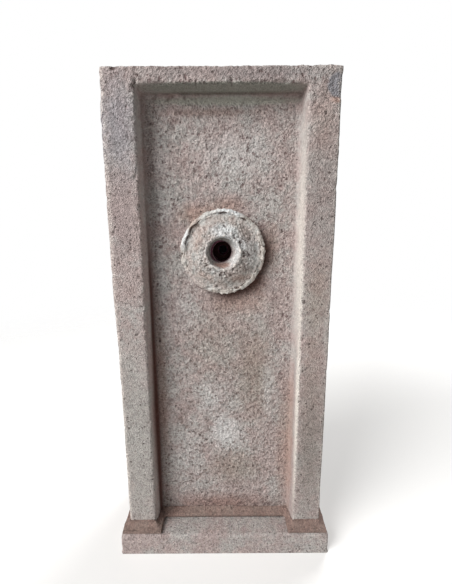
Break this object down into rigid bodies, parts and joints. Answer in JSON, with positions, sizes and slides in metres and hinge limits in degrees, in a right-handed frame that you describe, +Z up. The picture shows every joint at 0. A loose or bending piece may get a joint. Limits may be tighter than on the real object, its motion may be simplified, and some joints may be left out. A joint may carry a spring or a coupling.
{
  "type": "concrete fountain",
  "caption": "Free-standing cast concrete fountain stele with a recessed front panel, a rosette outlet and a stop valve on the riser pipe in its open back.",
  "frame": {"origin": "middle of the foot's box, on the ground", "axes": "+Z up, front with the panel and the outlet towards -Y, +X to the right seen from the front"},
  "size_m": [0.382, 0.196, 0.816],
  "materials": {
    "concrete": "rough cast, pitted and stained",
    "mortar": "rough",
    "galvanised_iron": "dull zinc",
    "zinc_plated_steel": "satin",
    "steel": "satin",
    "brass": "dull",
    "chromed_brass": "polished",
    "fluoropolymer": "matt",
    "nylon": "matt",
    "rubber": "matt",
    "vinyl": "satin"
  },
  "bodies": {
    "fountain": {"stele": "concrete", "plinth": "concrete", "mortar_bed": "mortar", "dowel_left": "steel", "dowel_right": "steel", "rosette": "concrete", "rosette_mortar": "mortar", "flange_gasket": "rubber", "wall_flange": "galvanised_iron", "flange_screws": "steel", "flange_plugs": "nylon", "spout_nipple": "galvanised_iron", "elbow": "galvanised_iron", "riser_pipe": "galvanised_iron", "clip_plate_lower": "zinc_plated_steel", "clip_plate_upper": "zinc_plated_steel", "clip_stud_lower": "zinc_plated_steel", "clip_stud_upper": "zinc_plated_steel", "clip_inner_half_lower": "zinc_plated_steel", "clip_inner_half_upper": "zinc_plated_steel", "clip_outer_half_lower": "zinc_plated_steel", "clip_outer_half_upper": "zinc_plated_steel", "clip_screws": "steel", "clip_plate_screws": "steel", "clip_plugs": "nylon", "valve_body": "brass", "valve_adapter": "brass", "valve_seat_lower": "fluoropolymer", "valve_seat_upper": "fluoropolymer", "stem_packing": "fluoropolymer", "gland_nut": "brass", "inlet_nipple": "brass"},
    "valve_handle": {"valve_ball": "chromed_brass", "valve_stem": "brass", "valve_lever": "steel", "lever_grip": "vinyl", "lever_nut": "steel"}
  },
  "joints": [
    {"name": "valve_turn", "type": "hinge", "parent": "fountain", "child": "valve_handle", "pos_m": [0, 0.05, 0.13], "axis": [0, 1, 0], "range_deg": [0, 90]}
  ]
}
